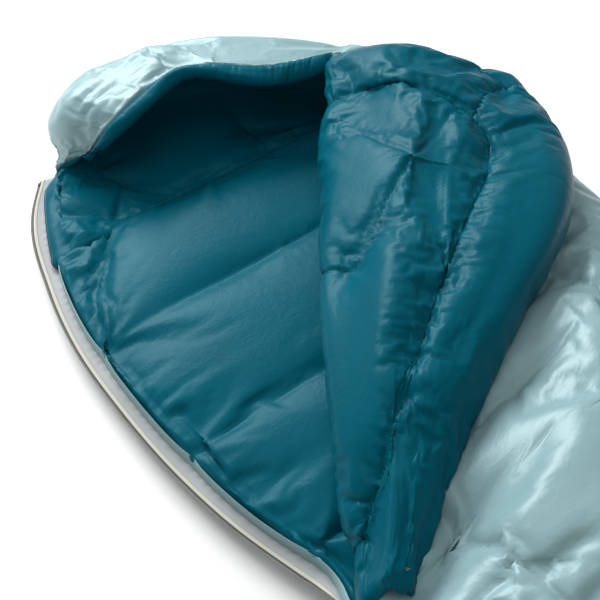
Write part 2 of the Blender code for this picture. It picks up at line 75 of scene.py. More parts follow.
# %% Outline, height and fold line
EDGE = [(-1.05, .217), (-.85, .238), (-.62, .2634), (-.40, .2864), (-.20, .3073), (-.03, .3250),
        (.027, .3310), (.087, .3470), (.184, .3700), (.287, .3830), (.447, .3860), (.569, .3780),
        (.703, .3500), (.88, .2810), (.95, .2270)]          # (y, half width at the zip coil)
CREST = [(-1.05, .165), (-.60, .168), (-.10, .185), (.35, .190), (.80, .190)]   # (y, height of the top)
Y_FOOT, Y_NECK = -.955, .740
QUILT = .045                          # thickness of a lofted panel
SEAT_Z = .048                         # height of the side seams
ARCH_POWER = .62                      # squareness of the top panel's arch
FOLD_A = Vector((.250, .738, .180))   # neck end of the fold line
FOLD_B = Vector((-.319, -.030, .085)) # slider end of the fold line
FOLD_RADIUS = [(0, .022), (.10, .030), (.20, .038), (.35, .044), (.55, .045), (.80, .036), (.96, .016)]
# flap sections across the fold: (distance along the fold, reach, edge height, crest height, thickness)
FLAP = [(0, .275, .112, .222, .034), (.1, .298, .125, .243, .040), (.2, .318, .150, .250, .045),
        (.3, .318, .175, .249, .045), (.4, .303, .182, .246, .045), (.5, .262, .178, .238, .044),
        (.6, .203, .168, .224, .042), (.7, .147, .154, .205, .038), (.8, .098, .137, .180, .033),
        (.9, .057, .116, .148, .026), (.96, .038, .098, .124, .019)]
DENT, DENT_RUN = .11, .20             # how far the fold pulls the top panel down, across and along
FLAP_START, FLAP_SKEW, FLAP_END = .030, .060, .935
hinge = Vector(joints["flap_fold"]["pos_m"])
SHIFT = hinge - (FOLD_A + FOLD_B) / 2
ALONG = Vector(((FOLD_B - FOLD_A).x, (FOLD_B - FOLD_A).y, 0))
FOLD_LENGTH = ALONG.length
ALONG.normalize()
ACROSS = Vector((-ALONG.y, ALONG.x, 0))
print("maker's axes lie", [round(c, 4) for c in SHIFT], "from the frame's; fold", round(FOLD_LENGTH, 3), "m")


# %% Smooth curves through a few points
def spline(knots, values, at):
    """Cubic curve through values at the knots, read at one place or at an array of places."""
    knots, values = np.asarray(knots, float), np.asarray(values, float)
    t = np.clip(np.asarray(at, float), knots[0], knots[-1])
    i = np.clip(np.searchsorted(knots, t) - 1, 0, len(knots) - 2)
    slope = np.gradient(values, knots, axis=0)
    extra = (1,) * (values.ndim - 1)
    h = (knots[i + 1] - knots[i]).reshape(np.shape(t) + extra)
    s = ((t - knots[i]) / (knots[i + 1] - knots[i])).reshape(np.shape(t) + extra)
    return ((2 * s**3 - 3 * s**2 + 1) * values[i] + (s**3 - 2 * s**2 + s) * h * slope[i]
            + (3 * s**2 - 2 * s**3) * values[i + 1] + (s**3 - s**2) * h * slope[i + 1])


def curve(rows, at):
    """Smooth curve through (knot, values...) rows."""
    table = np.array(rows, float)
    return spline(table[:, 0], table[:, 1:], at)


def smooth(t):
    t = min(max(t, 0.0), 1.0)
    return t * t * (3 - 2 * t)


def half_width(y):
    return float(curve(EDGE, y)[0])


def fold_height(s):
    return FOLD_A.z + (FOLD_B.z - FOLD_A.z) * s / FOLD_LENGTH


def fold_radius(s):
    return float(curve(FOLD_RADIUS, s)[0])


def from_fold(s, p, z):
    """Point at distance s along the fold line and p across it, at height z."""
    return Vector((FOLD_A.x, FOLD_A.y, 0)) + ALONG * s + ACROSS * p + Vector((0, 0, z))


# %% The folded-back flap and the roll of its fold
def flap_curve(s, t, lower):
    """(across, height) of the flap's upper or lower face; t runs from the fold to the zip edge."""
    reach, edge_z, crest_z, thick = curve(FLAP, s)
    drop, axis_z = crest_z - edge_z, fold_height(s)
    if lower:
        rows = [(0, 0, axis_z + .0008), (.15, .17 * reach, crest_z - .008 - thick),
                (.4, .42 * reach, crest_z - thick), (.7, .72 * reach, crest_z - .27 * drop - .004 - thick),
                (.9, .90 * reach, edge_z + .45 * drop - .85 * thick), (1, .955 * reach, edge_z - .4 * thick)]
    else:
        rows = [(0, 0, axis_z + fold_radius(s)), (.15, .17 * reach, crest_z - .008),
                (.4, .42 * reach, crest_z), (.7, .76 * reach, crest_z - .25 * drop - .004),
                (.9, .965 * reach, edge_z + .45 * drop), (1, reach, edge_z)]
    return curve(rows, t)


def flap_s(t, v):
    start = FLAP_START + FLAP_SKEW * t
    return start + (FLAP_END - start) * v


def flap_point(t, v, depth):
    """Flap: t fold to zip edge, v neck to slider end, depth 0 shell (below) to 1 lining (above)."""
    s = flap_s(t, v)
    low, high = flap_curve(s, t, True), flap_curve(s, t, False)
    return from_fold(s, *(low + (high - low) * depth))


def roll_point(turn, v):
    """Lining of the fold's roll: turn 0 under the axis, where the top panel's lining ends, to 1 over it."""
    s = flap_s(0, v)
    angle = math.pi * (.5 + turn)
    return from_fold(s, fold_radius(s) * math.cos(angle), fold_height(s) - fold_radius(s) * math.sin(angle))


# %% The long top and bottom panels
LOWER_FACE = {}


def under_flap(s, p):
    """Height of the flap's lower face over the point (s, p); past its edge the limit climbs away."""
    key = round(s, 3)
    if key not in LOWER_FACE:
        LOWER_FACE[key] = flap_curve(key, np.linspace(0, 1, 40), True)
    rows = LOWER_FACE[key]
    return float(np.interp(p, rows[:, 0], rows[:, 1])) + max(0, p - rows[-1, 0] - .02) * .6


def top_end(y):
    """How far open the top is at y, and where its half circle (0 right to 1 left) ends at the fold line."""
    x_fold = FOLD_A.x + ALONG.x * (y - FOLD_A.y) / ALONG.y
    opened = smooth((y - FOLD_B.y + .035) / .035)
    return opened, 1 - opened * (1 - math.acos(min(max(x_fold / half_width(y), -1), 1)) / math.pi)


def top_point(u, y, depth):
    """Top panel left in place: u 0 right side seam to 1 fold line or zip edge, depth 0 shell to 1 lining."""
    wide = half_width(y)
    opened, q_end = top_end(y)
    q = u * q_end
    high = float(curve(CREST, y)[0])
    rise = math.sin(math.pi * q) ** ARCH_POWER if 0 < q < 1 else 0.0
    outer_z = SEAT_Z + (high - SEAT_Z) * rise
    x = wide * math.cos(math.pi * q)
    rel = Vector((x - FOLD_A.x, y - FOLD_A.y, 0))
    s, p = rel.dot(ALONG), rel.dot(ACROSS)
    eased = smooth((y - FOLD_B.y + DENT_RUN) / DENT_RUN)
    limit_s = min(max(s, .001), FLAP_END + .02)
    beside = math.hypot(p, max(0, s - FOLD_LENGTH))
    if eased > 0:
        limit = under_flap(limit_s, p) - .003 - .017 * smooth(p / .05) + max(0, s - limit_s) * .6
        outer_z = min(outer_z, max(limit, fold_height(limit_s)) + (1 - eased) * .2)
    s = min(max(s, 0), FOLD_LENGTH)
    target = fold_height(s) - .001
    pull = eased * math.exp(-(beside / DENT) ** 2) if outer_z > target else opened * math.exp(-(p / .07) ** 2)
    outer_z += (target - outer_z) * pull
    inner_z = SEAT_Z + (outer_z - SEAT_Z) * (high - QUILT - SEAT_Z) / (high - SEAT_Z)
    near = opened * math.exp(-(p / .07) ** 2)
    inner_z += (fold_height(s) - fold_radius(s) - inner_z) * near
    outer_z = max(outer_z, SEAT_Z + .020 * opened)
    inner_z = max(SEAT_Z, min(inner_z, outer_z - max(.35 * QUILT * rise, .018 * opened)))
    inward = QUILT * math.cos(math.pi * q) * (1 - opened * smooth(u))
    return Vector((x - inward * depth, y, outer_z + (inner_z - outer_z) * depth))


BAND = .0275                          # width of a zip tape
BAND_TURN_Y = .10                     # above this the open tape lies flat, below it stands upright
FLAT_SHARE = .8                       # share of the bottom's width that lies flat on the ground


def quilt_left(y):
    """Left edge of the bottom quilt: in the open stretch the flat tape lies outside it."""
    return -half_width(y) + (BAND + .0045) * smooth((y - FOLD_B.y) / BAND_TURN_Y)


def bottom_point(u, y, depth):
    """Bottom panel: u 0 zip side to 1 right side, depth 0 shell on the ground to 1 lining."""
    left, right = quilt_left(y), half_width(y)
    side = abs(2 * u - 1)
    low = .016 * max(0, (side - FLAT_SHARE) / (1 - FLAT_SHARE)) ** 2
    high = SEAT_Z - .0006 - .004 * side ** 6
    return Vector((left + (right - left) * u, y, low + (high - low) * depth))


# %% The hood and the foot
HOOD_THICK = .028
HOOD_COLUMNS = (0, .13, .43, .74, 1)  # where the hood's columns stand across it
ZIP_FAN = .14                         # share of the hood's width that fans in to the top of the zip
HOOD = [  # columns from the zip side to the right side, rows from the neck seam over the crown to the rim
    [(-.301, .742, .026), (-.269, .82, .028), (-.228, .90, .034), (-.205, .928, .048), (-.190, .912, .070),
     (-.172, .880, .095)],
    [(-.170, .742, .024), (-.182, .83, .025), (-.180, .905, .040), (-.176, .955, .092), (-.168, .925, .142),
     (-.144, .842, .152)],
    [(0, .742, .024), (0, .85, .025), (0, .945, .055), (0, .978, .120), (0, .935, .178), (0, .853, .192)],
    [(.170, .742, .024), (.190, .81, .025), (.205, .875, .065), (.205, .885, .125), (.170, .835, .172),
     (.128, .775, .186)],
    [(.318, .742, .024), (.325, .765, .035), (.333, .785, .075), (.318, .785, .122), (.290, .768, .152),
     (.240, .745, .180)]]


def hood_surface(u, v):
    columns = [spline(np.linspace(0, 1, 6), column, v) for column in HOOD]
    return Vector(spline(HOOD_COLUMNS, columns, u))


def hood_point(u, v, depth):
    """Hood: u zip side to right side, v neck seam to rim, depth 0 shell to 1 lining."""
    e = 1e-3
    u0, v0 = min(max(u, ZIP_FAN), 1 - e), min(max(v, e), 1 - e)
    du = hood_surface(u0 + e, v0) - hood_surface(u0 - e, v0)
    dv = hood_surface(u0, v0 + e) - hood_surface(u0, v0 - e)
    normal = du.cross(dv).normalized()      # points to the inside of the hood
    beside_zip = Vector((0, 0, 1)).lerp(Vector((.93, .25, 0)), smooth((v - .3) / .3))
    normal = normal.lerp(beside_zip, smooth((ZIP_FAN - u) / ZIP_FAN)).normalized()
    normal = normal.lerp(Vector((0, 0, 1)), smooth((.16 - v) / .16)).normalized()
    thick = HOOD_THICK * (1 - .55 * smooth((v - .80) / .2))
    thick *= 1 - smooth((ZIP_FAN - u) / ZIP_FAN) * (.35 + .30 * smooth((v - .3) / .3))
    thick += (.040 - thick) * smooth((.15 - v) / .15) * smooth(u / .05)
    thick = max(thick, .0150)
    point = hood_surface(u, v) + normal * thick * (depth - .5 * smooth(u / ZIP_FAN))
    point.z = max(point.z, 0)
    return point


def foot_point(u, v, depth):
    """Foot cap closing the bag: u left to right, v floor to crest, depth 0 inside to 1 outside."""
    wide, high = half_width(Y_FOOT) - .002, float(curve(CREST, Y_FOOT)[0])
    q = u * .94 + .03
    x = -wide * math.cos(math.pi * q)
    low = .016 * abs(math.cos(math.pi * q)) ** 8
    top = SEAT_Z + (high - SEAT_Z) * math.sin(math.pi * q) ** ARCH_POWER
    dome = math.sin(math.pi * u) * math.sin(math.pi * (.08 + .84 * v))
    y = Y_FOOT - .0006 - .012 * dome - (.022 + .020 * dome) * depth
    return Vector((x, y, low + (top - low) * v))


# %% [markdown]
# ## Finishes
# The shell is a mint taffeta and the lining a teal one, both calendered: pressed under a hot roller so that the
# down can't work through, which leaves a soft satin gloss. The threads are far too fine to see at this size, so
# the weave is drawn at about a millimetre, faintly, and what the eye reads is the gloss on the creases.

# %% Colour and node helpers
def linear(colour):
    """sRGB hex to linear rgba."""
    parts = [int(colour[i:i + 2], 16) / 255 for i in (1, 3, 5)]
    return [c / 12.92 if c <= .04045 else ((c + .055) / 1.055) ** 2.4 for c in parts] + [1.0]


def node(tree, kind, settings=None, **links):
    """A node, its settings and links. A setting is an attribute or an input's name, or its number after "_"."""
    made = tree.nodes.new("ShaderNode" + kind)
    for key, value in (settings or {}).items():
        if key[1:].isdigit() or key in made.inputs:
            made.inputs[int(key[1:]) if key[1:].isdigit() else key].default_value = value
        else:
            setattr(made, key, value)
    for key, source in links.items():
        tree.links.new(source, made.inputs[int(key[1:]) if key[1:].isdigit() else key.replace("_", " ")])
    return made


def noise(tree, scale, detail, at=None):
    """Noise over the given coordinates, or over the object."""
    at = at or node(tree, "TexCoord").outputs["Object"]
    return node(tree, "TexNoise", {"Scale": scale, "Detail": detail}, Vector=at).outputs["Fac"]


def finish(name, settings):
    """A material with its Principled shader set; returns the material, its tree and the shader."""
    mat = bpy.data.materials.new(name)
    mat.use_nodes = True
    bsdf = mat.node_tree.nodes["Principled BSDF"]
    for key, value in settings.items():
        bsdf.inputs[key].default_value = value
    mat.diffuse_color = settings["Base Color"]
    return mat, mat.node_tree, bsdf


# %% Satin taffeta
THREAD_MM = 1.1        # drawn pitch; the real thread is about 0.1 mm
CREASE_MM = 16         # spacing of the fine creases that the cloth keeps from being packed


def taffeta(name, dark, light, settings):
    """Calendered nylon taffeta: patches of colour, fine creases and a faint weave, all along the cloth."""
    mat, tree, bsdf = finish(name, {"Base Color": linear(dark), **settings})
    cloth = node(tree, "UVMap", {"uv_map": "cloth"}).outputs[0]
    shade = node(tree, "MixRGB", {"Color1": linear(dark), "Color2": linear(light)},
                 Fac=noise(tree, 7.0, 2.0, cloth))
    tree.links.new(shade.outputs[0], bsdf.inputs["Base Color"])
    crease = node(tree, "TexNoise", {"Scale": 1000 / CREASE_MM, "Detail": 3.0, "Roughness": .55,
                                     "Distortion": 1.2}, Vector=cloth).outputs["Fac"]
    soft = node(tree, "Bump", {"Strength": .35, "Distance": .0014}, Height=crease)
    threads = [node(tree, "TexWave", {"bands_direction": way, "Scale": 1000 / THREAD_MM / 20}, Vector=cloth)
               for way in "XY"]
    weave = node(tree, "Math", {"operation": "ADD"}, _0=threads[0].outputs["Fac"], _1=threads[1].outputs["Fac"])
    fine = node(tree, "Bump", {"Strength": .06, "Distance": .0002}, Height=weave.outputs[0],
                Normal=soft.outputs[0])
    tree.links.new(fine.outputs[0], bsdf.inputs["Normal"])
    return mat


lining_cloth = taffeta("teal_nylon_taffeta", "#004d5e", "#005f72",
                       {"Roughness": .37, "Specular IOR Level": .13, "Specular Tint": linear("#8fdfe9"),
                        "IOR": 1.5})
shell_cloth = taffeta("mint_nylon_taffeta", "#83a5aa", "#90b1b5",
                      {"Roughness": .36, "Specular IOR Level": .5, "Specular Tint": linear("#e6fbff"),
                       "IOR": 1.5})
print("finishes", [m.name for m in bpy.data.materials if "nylon_taffeta" in m.name])

# %% [markdown]
# ## Laying cloth on a panel
# A sheet is a fine grid laid on the panel's shape. Its vertices that come near a seam are moved onto it, so that
# a slanting seam stays a clean line, and they are held there. Growing the rest of the cloth by a few per cent
# and pushing it outwards then does what real down does: the cloth domes between the seams, and where it is
# wider than the seam that holds it, it falls into gathers.

# %% Reading a panel's shape on a fine grid
def lay(shape, us, vs, fine_us, fine_vs):
    """Points of shape(u, v) on a fine grid, from a coarser one that it is worked out on."""
    coarse = np.array([[tuple(shape(u, v)) for v in vs] for u in us])
    return spline(vs, spline(us, coarse, fine_us).swapaxes(0, 1), fine_vs).swapaxes(0, 1) + np.array(SHIFT)


def normals_of(points):
    out = np.cross(np.gradient(points, axis=0), np.gradient(points, axis=1))
    return out / np.maximum(np.linalg.norm(out, axis=2, keepdims=True), 1e-12)


def arc_lengths(points, axis):
    """How far along the cloth each grid point lies, in metres, from the grid's middle line."""
    step = np.linalg.norm(np.diff(points, axis=axis), axis=2)
    run = np.insert(np.cumsum(step, axis=axis), 0, 0, axis=axis)
    return run - np.take(run, [run.shape[axis] // 2], axis=axis)


def to_seams(points, us, vs, seams):
    """Distance of every grid point to its nearest seam, and the step that takes it onto that seam. A seam is a
    list of (u, v) corners."""
    nearest = np.full(points.shape[:2], 9.0)
    step = np.zeros_like(points)
    for seam in seams:
        corners = np.array([[np.interp(u, us, np.arange(len(us))), np.interp(v, vs, np.arange(len(vs)))]
                            for u, v in seam])
        low = np.floor(corners).astype(int)
        share = corners - low
        high = np.minimum(low + 1, np.array(points.shape[:2]) - 1)
        a = points[low[:, 0], low[:, 1]] * (1 - share[:, :1]) + points[high[:, 0], low[:, 1]] * share[:, :1]
        b = points[low[:, 0], high[:, 1]] * (1 - share[:, :1]) + points[high[:, 0], high[:, 1]] * share[:, :1]
        line = a * (1 - share[:, 1:]) + b * share[:, 1:]
        for p, q in zip(line, line[1:]):
            along = q - p
            t = np.clip(((points - p) @ along) / (along @ along), 0, 1)
            off = p + t[..., None] * along - points
            gap = np.linalg.norm(off, axis=2)
            closer = gap < nearest
            nearest[closer] = gap[closer]
            step[closer] = off[closer]
    return nearest, step


# %% Grid points moved onto the seams
def snap(points, gap, step):
    """The grid with its nearest points moved onto the seams, and which those are. A move that would crush the
    grid beside it is taken back."""
    way = step / np.maximum(gap, 1e-9)[..., None]
    spacing = np.maximum(*(abs((np.gradient(points, axis=axis) * way).sum(axis=2)) for axis in (0, 1)))
    on_seam = gap <= np.maximum(.5 * spacing, 1e-6)
    for axis in (0, 1, 0, 1):
        moved = points + step * on_seam[..., None]
        left = np.linalg.norm(np.diff(moved, axis=axis), axis=2)
        crushed = left < .4 * np.linalg.norm(np.diff(points, axis=axis), axis=2)
        ends = [np.take(gap, range(k, gap.shape[axis] - 1 + k), axis=axis) for k in (0, 1)]
        for k in (0, 1):
            undo = crushed & ((ends[k] > ends[1 - k]) | ((ends[0] == ends[1]) & (k == 1)))
            part = (slice(k, gap.shape[0] - 1 + k), slice(None)) if axis == 0 else \
                (slice(None), slice(k, gap.shape[1] - 1 + k))
            on_seam[part] &= ~undo
    return points + step * on_seam[..., None], on_seam


# %% From grid to cloth object
def put(name, data):
    """A new object in the scene."""
    obj = bpy.data.objects.new(name, data)
    bpy.context.scene.collection.objects.link(obj)
    return obj


def cloth_object(name, points, material, outward):
    """Grid sheet with its cloth coordinates in metres; outward is 1 where u cross v points out, else -1."""
    nu, nv = points.shape[:2]
    across, along = arc_lengths(points, 0), arc_lengths(points, 1)
    bm = bmesh.new()
    uv = bm.loops.layers.uv.new("cloth")
    bmesh.ops.create_grid(bm, x_segments=nu - 1, y_segments=nv - 1, size=.5)
    index = [(round((v.co.x + .5) * (nu - 1)), round((v.co.y + .5) * (nv - 1))) for v in bm.verts]
    for vert, (i, j) in zip(bm.verts, index):
        vert.co = points[i, j]
    for face in bm.faces:
        face.smooth = True
        for loop in face.loops:
            i, j = index[loop.vert.index]
            loop[uv].uv = (across[i, j], along[i, j])
    if outward < 0:
        bmesh.ops.reverse_faces(bm, faces=list(bm.faces))
    mesh = bpy.data.meshes.new(name)
    bm.to_mesh(mesh)
    bm.free()
    mesh.materials.append(material)
    return put(name, mesh), np.array(index)


def coords_of(mesh):
    co = np.empty(len(mesh.vertices) * 3, np.float32)
    mesh.vertices.foreach_get("co", co)
    return co.reshape(-1, 3).astype(float)


# %% Blowing a sheet up
FRAMES, PUSH, STIFF = 16, 3.0, 15.0    # length of the simulation, the down's pressure, the thread's stiffness


def inflate(obj, pinned, slack, growth, cap):
    """Cloth simulation with the pinned vertices held; slack is 0 where the cloth grows most, 1 where least."""
    scene = bpy.context.scene
    pins, ease = obj.vertex_groups.new(name="pins"), obj.vertex_groups.new(name="ease")
    pins.add([int(i) for i in np.flatnonzero(pinned)], 1, "REPLACE")
    for level in range(11):
        members = np.flatnonzero(np.round(slack * 10) == level)
        ease.add([int(i) for i in members], level / 10, "REPLACE")
    cloth = obj.modifiers.new("cloth", "CLOTH")
    made = cloth.settings
    made.quality = 3
    made.mass = .15
    made.tension_stiffness = made.compression_stiffness = STIFF
    made.shear_stiffness = STIFF / 3
    made.bending_stiffness = .05
    made.vertex_group_mass, made.vertex_group_shrink = "pins", "ease"
    made.shrink_min, made.shrink_max = -growth[0], -growth[1]
    made.use_pressure = True
    made.uniform_pressure_force = PUSH
    made.effector_weights.gravity = 0
    cloth.collision_settings.use_collision = False
    cloth.point_cache.frame_start, cloth.point_cache.frame_end = 1, FRAMES
    start = coords_of(obj.data)
    for number in range(1, FRAMES + 1):
        scene.frame_set(number)
    blown = coords_of(obj.evaluated_get(bpy.context.evaluated_depsgraph_get()).data)
    obj.modifiers.remove(cloth)
    scene.frame_set(1)
    move = blown - start
    far = np.linalg.norm(move, axis=1, keepdims=True)
    move *= cap * np.tanh(far / cap) / np.maximum(far, 1e-9)
    obj.data.vertices.foreach_set("co", (start + move).astype(np.float32).ravel())
    obj.data.update()
    return float(far.max())


HELD_BLUR = 12         # how many grid steps the first dome takes to fade out beside cloth that is held down
GROW_NEAR = .03        # within about this of a seam the cloth grows most


def sew(name, points, us, vs, seams, material, outward, puff, gather, growth=(.12, .04), cap=.02, held=None,
        simulate=True):
    """A panel's cloth: laid on its points, sunk at its seams by a first dome, then blown up."""
    gap, step = to_seams(points, us, vs, seams)
    cell = max(np.linalg.norm(np.diff(points, axis=0), axis=2).mean(),
               np.linalg.norm(np.diff(points, axis=1), axis=2).mean())
    points, on_seam = snap(points, gap, step)
    dome = puff * (1 - np.exp(-np.where(on_seam, 0, gap) / gather))
    if held is not None:
        near = held.astype(float)
        for _ in range(HELD_BLUR):
            near[1:-1, 1:-1] = (near[:-2, 1:-1] + near[2:, 1:-1] + near[1:-1, :-2] + near[1:-1, 2:]) / 4
        dome *= 1 - near
    points = points + normals_of(points) * dome[..., None] * outward
    obj, index = cloth_object(name, points, material, outward)
    rim = np.zeros(points.shape[:2], bool)
    rim[[0, -1], :] = rim[:, [0, -1]] = True
    pinned = (on_seam | rim if held is None else on_seam | rim | held)[index[:, 0], index[:, 1]]
    slack = (1 - np.exp(-gap / GROW_NEAR))[index[:, 0], index[:, 1]]
    moved = inflate(obj, pinned, slack, growth, cap) if simulate else 0
    print(f"{name}: {len(index)} points, cell {cell * 1000:.1f} mm, moved {moved * 1000:.1f} mm")
    return obj


def lines(a, b, n):
    return [a + (b - a) * i / n for i in range(n + 1)]


def spread(n, turn, before=4, after=4):
    """0 to 1 in n steps, with a few more past either end for the cloth that turns over the edge."""
    return lines(-turn, 0, before) + lines(0, 1, n)[1:] + lines(1, 1 + turn, after)[1:]


def above_ground(cloth):
    """No point of the cloth left under the ground."""
    for vert in cloth.data.vertices:
        vert.co.z = max(vert.co.z, 0)


# %% [markdown]
# ## The bottom quilt
# The sleeper lies on the bottom quilt: a lining sewn across at every chamber, and a shell that lies flat on the
# ground and turns up at the sides to meet it. On the zip side a narrow wedge runs down from the hood, and its
# seam is drawn tight, so the lining gathers along it.

# %% Where a panel turns over its edge
NEARLY = .93 * math.pi                # a turned edge stops just short of lying back on its panel
INSET = .02                           # how far in a panel is read to find which way its edge faces


def turned(shape, u, v, reach_u, reach_v, bulge, first=1.0, most=NEARLY):
    """shape(u, v, depth) carried on past its range, round the rim, from depth first to the other face."""
    cu, cv = min(max(u, 0), 1), min(max(v, reach_v[0]), reach_v[1])
    past = ((u - cu) / reach_u, (v - cv) / reach_v[2])
    turn = most * min(1, math.hypot(*past))
    point = shape(cu, cv, first + (1 - 2 * first) * (1 - math.cos(turn)) / 2)
    if turn > 0:
        middle, toward = shape(cu, cv, .5), INSET * (reach_v[1] - reach_v[0])
        out = Vector((0, 0, 0))
        if past[0]:
            out += (middle - shape(min(max(cu, INSET), 1 - INSET), cv, .5)).normalized() * abs(past[0])
        if past[1]:
            inside = min(max(cv, reach_v[0] + toward), reach_v[1] - toward)
            out += (middle - shape(cu, inside, .5)).normalized() * abs(past[1])
        point = point + out.normalized() * bulge * math.sin(turn)
    return point


BOTTOM_SEAMS = [Y_FOOT, -.75, -.54, -.33, -.12, .09, .30, .53, Y_NECK]
BOTTOM_Y = lines(Y_FOOT, Y_NECK, 60)
FINE_BOTTOM_Y = lines(Y_FOOT, -.1, 70)[:-1] + lines(-.1, Y_NECK, 140)
WEDGE = [(.0, .545), (.025, .60), (.109, .699), (.150, Y_NECK)]
wedge_seams = [WEDGE, [(0, .655), (.109, .699)]]
wedge_seams += [[(1 - u, y) for u, y in seam] for seam in wedge_seams]
bottom_seams = [[(0, y), (1, y)] for y in BOTTOM_SEAMS[1:-1]] + wedge_seams
TURN = .04
us = spread(110, TURN, 5)
ys = FINE_BOTTOM_Y + lines(Y_NECK, Y_NECK + .02, 3)[1:]
TO_TAPE = .62 * math.pi                # the lining's edge turns down this far, to the tape sewn along it
points = lay(lambda u, y: turned(bottom_point, u, y, TURN, (Y_FOOT, Y_NECK, .02), .0035, most=TO_TAPE),
             spread(30, TURN, 5), BOTTOM_Y + lines(Y_NECK, Y_NECK + .02, 3)[1:], us, ys)
edge = np.zeros(points.shape[:2], bool)
edge[:6], edge[-5:], edge[:, -4:] = True, True, True
bottom_lining = sew("bottom_lining_cloth", points, us, ys, bottom_seams, lining_cloth, 1, puff=.012, gather=.03,
                    cap=.018, held=edge)

# %% Its shell, turned up at the sides
us = spread(84, TURN, 8, 8)
ys = lines(Y_FOOT, Y_NECK, 150)


CLOSED_BULGE, OPEN_BULGE = .012, .0015


def side_bulge(u, y):
    """How far the shell's edge stands out: much less beside the open tape."""
    opened = smooth((y - FOLD_B.y) / BAND_TURN_Y) if u < .5 else 0
    return CLOSED_BULGE - (CLOSED_BULGE - OPEN_BULGE) * opened


points = lay(lambda u, y: turned(bottom_point, u, y, TURN, (Y_FOOT, Y_NECK, .01), side_bulge(u, y), 0),
             spread(44, TURN, 6, 6), BOTTOM_Y, us, ys)
bottom_shell = sew("bottom_shell_cloth", points, us, ys, [[(-TURN, y), (1 + TURN, y)] for y in BOTTOM_SEAMS],
                   shell_cloth, -1, puff=.006, gather=.02, simulate=False)
above_ground(bottom_shell)

# %% [markdown]
# ## The top quilt
# Seams run across the top and, on either side, along it; beyond those the side panels' seams slant towards the
# foot. Where the folded-back flap lies on it the cloth is held down, so that nothing pushes up through the flap.

# %% Its shell
TOP_SEAMS = [Y_FOOT, -.83, -.65, -.47, -.29, -.11, .07, .25, .50, Y_NECK]
SIDE_X, SIDE_SLANT = .187, .05        # where the long seams run, and how far the side seams slant to the foot


def across_top(x, y):
    """The u at which the top panel lies over x."""
    return math.acos(min(max(x / half_width(y), -1), 1)) / math.pi / top_end(y)[1]


def top_seam_lines():
    rows = []
    for y in TOP_SEAMS[1:-1]:
        left, right = min(1, across_top(-SIDE_X, y)), across_top(SIDE_X, y)
        rows += [[(right, y), (left, y)], [(0, y - SIDE_SLANT), (right, y)]]
        if left < 1:
            rows.append([(left, y), (1, y - SIDE_SLANT)])
    run = lines(Y_FOOT, .02, 20)
    rows.append([(across_top(-SIDE_X, y), y) for y in run])
    rows.append([(across_top(SIDE_X, y), y) for y in run + lines(.02, .7, 14)[1:]])
    return rows


NECK_TURN = .03
ys = lines(Y_FOOT - NECK_TURN, Y_FOOT, 5) + lines(Y_FOOT, Y_NECK, 245)[1:]
ys += lines(Y_NECK, Y_NECK + NECK_TURN, 6)[1:]
us = lines(.001, .998, 136)
coarse_y = lines(Y_FOOT - NECK_TURN, Y_FOOT, 4) + lines(Y_FOOT, -.09, 26)[1:] + lines(-.09, .02, 11)[1:]
coarse_y += lines(.02, Y_NECK, 30)[1:]
coarse_y += lines(Y_NECK, Y_NECK + NECK_TURN, 6)[1:]
points = lay(lambda u, y: turned(top_point, u, y, 1, (Y_FOOT, Y_NECK, NECK_TURN), .016 if y > 0 else .004,
                                     0),
             lines(.001, .998, 40), coarse_y, us, ys)
rel = points - np.array(SHIFT) - np.array((FOLD_A.x, FOLD_A.y, 0))
s_at, p_at = rel @ np.array(ALONG), rel @ np.array(ACROSS)
reach_at = curve(FLAP, s_at)[..., 0]
UNDER_EDGE = .045                     # under the flap's edge this much is free to puff up
covered = (s_at > .01) & (s_at < FLAP_END) & (p_at > -.01) & (p_at < reach_at - UNDER_EDGE)
TAPE_TOP = .094                       # the closed zip's tape covers the side of the quilt up to this height
place = points - np.array(SHIFT)
covered |= (place[..., 2] < TAPE_TOP) & (place[..., 0] < 0) & (place[..., 1] < FOLD_B.y)
end_seams = [[(0, y), (1, y)] for y in (Y_NECK, Y_FOOT)]
top_shell = sew("top_shell_cloth", points, us, ys, top_seam_lines() + end_seams, shell_cloth, -1, puff=.014,
                gather=.035, growth=(.11, .035), cap=.022, held=covered)

# %% Its lining, which shows only from inside
us = lines(.001, .998, 80)
ys = lines(Y_FOOT, Y_NECK, 140)
points = lay(lambda u, y: top_point(u, y, 1), lines(.001, .998, 30), coarse_y[4:-6], us, ys)
top_lining = sew("top_lining_cloth", points, us, ys, [[(0, y), (1, y)] for y in TOP_SEAMS[1:-1]], lining_cloth,
                 1, puff=.010, gather=.035, simulate=False)

# %% [markdown]
# ## The flap
# The folded-back part shows its lining. One sheet runs from under the fold, over its roll and across the flap
# to the zip edge, where it turns under. A single drawn-up seam parts the field from the draft collar along the
# neck and the draft tube along the zip, with a mitre where those two meet.

# %% The flap's sheet and its seams
EDGE_TURN, END_TURN = .10, .035
GATHERED = [(-.35, .10), (0, .105), (.135, .112), (.315, .135), (.44, .155), (.53, .180), (.585, .216),
            (.600, .259), (.573, .345), (.517, .432), (.472, .525), (.449, .604), (.404, .705), (.20, .82),
            (0, .90), (-.2, .94)]
MITRE = [(.55, .19), (.62, .12), (.75, .06), (1 + EDGE_TURN, -END_TURN)]
NODE = (.247, .338)
FIELD_SEAMS = [[(0, .216), NODE], [NODE, (.50, .172)], [NODE, (.46, .565)], [NODE, (.12, .43), (0, .525)],
               [(-.4, .50), (0, .525)]]


